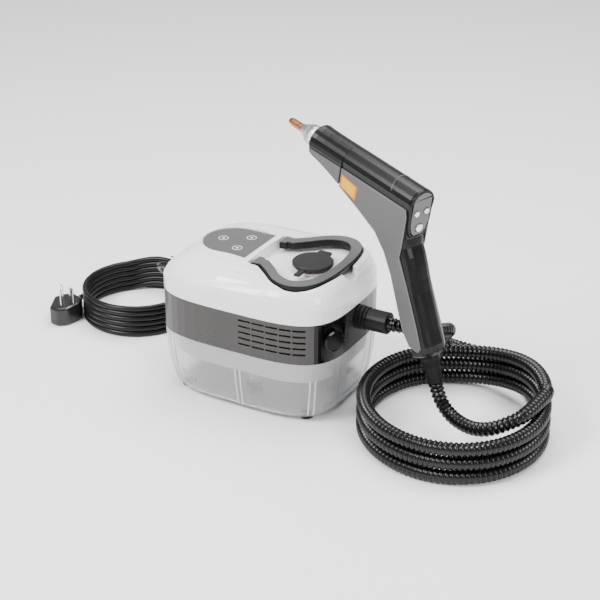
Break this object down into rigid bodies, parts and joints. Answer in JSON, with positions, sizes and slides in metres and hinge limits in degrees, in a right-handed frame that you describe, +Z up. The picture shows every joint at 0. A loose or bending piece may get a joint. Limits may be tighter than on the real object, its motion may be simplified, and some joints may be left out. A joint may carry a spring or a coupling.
{
  "type": "steam cleaner",
  "caption": "Portable steam cleaner: rounded boiler unit with clear tank, folding handle, corrugated hose, pistol spray gun and coiled mains lead with plug.",
  "frame": {"origin": "under the middle of the unit and gun together, on the surface the feet stand on", "axes": "+X along the unit's long side towards the hose outlet, +Y to the unit's back, +Z up"},
  "size_m": [0.6653, 0.2858, 0.3081],
  "materials": {
    "white_shell": "smooth white moulding, satin gloss",
    "clear_tank": "clear moulded tank, faintly ribbed",
    "inner_grey": "grey inner moulding",
    "band_grey": "dark grey satin moulding",
    "gloss_black": "piano black gloss",
    "panel_grey": "dark grey fine texture",
    "black_plastic": "black satin moulding",
    "cap_black": "black fine texture",
    "inlay_grey": "dark grey soft coating",
    "natural_plastic": "natural moulding",
    "seal_silicone": "soft silicone",
    "rubber": "black rubber",
    "hose_black": "corrugated black sheath, satin",
    "cord_black": "black vinyl sheath",
    "cast_aluminium": "sand cast",
    "steel": "plain steel",
    "pin_steel": "nickel plated",
    "brass": "turned brass",
    "circuit_board": "green circuit board",
    "gun_black": "dark satin moulding",
    "gun_grey": "grey satin cover",
    "gun_panel": "grey gloss panel",
    "button_silver": "satin silver",
    "plug_black": "black moulding",
    "nozzle_steel": "turned and knurled steel",
    "nozzle_copper": "copper nozzle"
  },
  "bodies": {
    "unit": {"foot_1": "rubber", "foot_2": "rubber", "foot_3": "rubber", "foot_4": "rubber", "water_tank": "clear_tank", "chassis_tub": "inner_grey", "mid_band": "band_grey", "side_window": "gloss_black", "outlet_blank": "gloss_black", "top_shell": "white_shell", "control_panel": "panel_grey", "touch_board": "circuit_board", "filler_neck": "natural_plastic", "boiler_body": "cast_aluminium", "boiler_lid": "steel", "thermostat": "black_plastic", "safety_valve": "brass", "heating_element": "steel", "pump_barrel": "brass", "pump_coil": "natural_plastic", "water_strainer": "black_plastic", "suction_tube": "natural_plastic", "feed_tube": "natural_plastic", "steam_pipe": "natural_plastic", "control_board": "circuit_board", "outlet_boot": "rubber", "hose_ferrule": "rubber", "steam_hose_coil": "hose_black", "steam_hose_lead": "hose_black", "gun_hose_lead": "hose_black", "hose_cuff": "rubber", "cord_relief": "rubber", "power_cord_coil": "cord_black", "power_cord_lead": "cord_black", "power_cord_plug_lead": "cord_black", "cord_tie": "black_plastic", "plug_body": "plug_black", "plug_pin_1": "pin_steel", "plug_pin_2": "pin_steel", "plug_pin_3": "pin_steel", "gun_housing_left": "gun_black", "gun_housing_right": "gun_black", "nose_cover": "gun_black", "top_cover": "gun_black", "side_plate_left": "gun_grey", "side_plate_right": "gun_grey", "rear_panel": "gun_panel", "switch_board": "circuit_board", "gun_steam_tube": "natural_plastic"},
    "carry_handle": {"carry_handle": "black_plastic", "handle_inlay": "inlay_grey"},
    "fill_cap": {"fill_cap": "cap_black", "cap_seal": "seal_silicone"},
    "button_left": {"button_left": "button_silver"},
    "button_right": {"button_right": "button_silver"},
    "button_lower": {"button_lower": "button_silver"},
    "nozzle": {"nozzle_chuck": "nozzle_steel", "nozzle_tip": "nozzle_copper"},
    "pump_plunger": {"pump_plunger": "steel", "pump_spring": "steel"}
  },
  "joints": [
    {"name": "handle_lift", "type": "hinge", "parent": "unit", "child": "carry_handle", "pos_m": [-0.0527, 0, 0.1605], "axis": [0, -1, 0], "range_deg": [0, 95]},
    {"name": "cap_open", "type": "hinge", "parent": "unit", "child": "fill_cap", "pos_m": [-0.0002, 0.029, 0.1612], "axis": [-1, 0, 0], "range_deg": [0, 110]},
    {"name": "button_left_press", "type": "slide", "parent": "unit", "child": "button_left", "axis": [-0.9275, 0.3312, 0.1736], "range_m": [0, 0.0015], "stiffness_N_per_m": 300},
    {"name": "button_right_press", "type": "slide", "parent": "unit", "child": "button_right", "axis": [-0.9275, 0.3312, 0.1736], "range_m": [0, 0.0015], "stiffness_N_per_m": 300},
    {"name": "button_lower_press", "type": "slide", "parent": "unit", "child": "button_lower", "axis": [-0.9275, 0.3312, 0.1736], "range_m": [0, 0.0015], "stiffness_N_per_m": 300},
    {"name": "nozzle_turn", "type": "hinge", "parent": "unit", "child": "nozzle", "pos_m": [-0.02771, 0.04781, 0.29241], "axis": [-0.9275, 0.3312, 0.1736], "continuous": true},
    {"name": "pump_stroke", "type": "slide", "parent": "unit", "child": "pump_plunger", "axis": [0, 0, 1], "range_m": [-0.0015, 0.0015], "stiffness_N_per_m": 2000, "deforming": ["pump_spring"]}
  ]
}
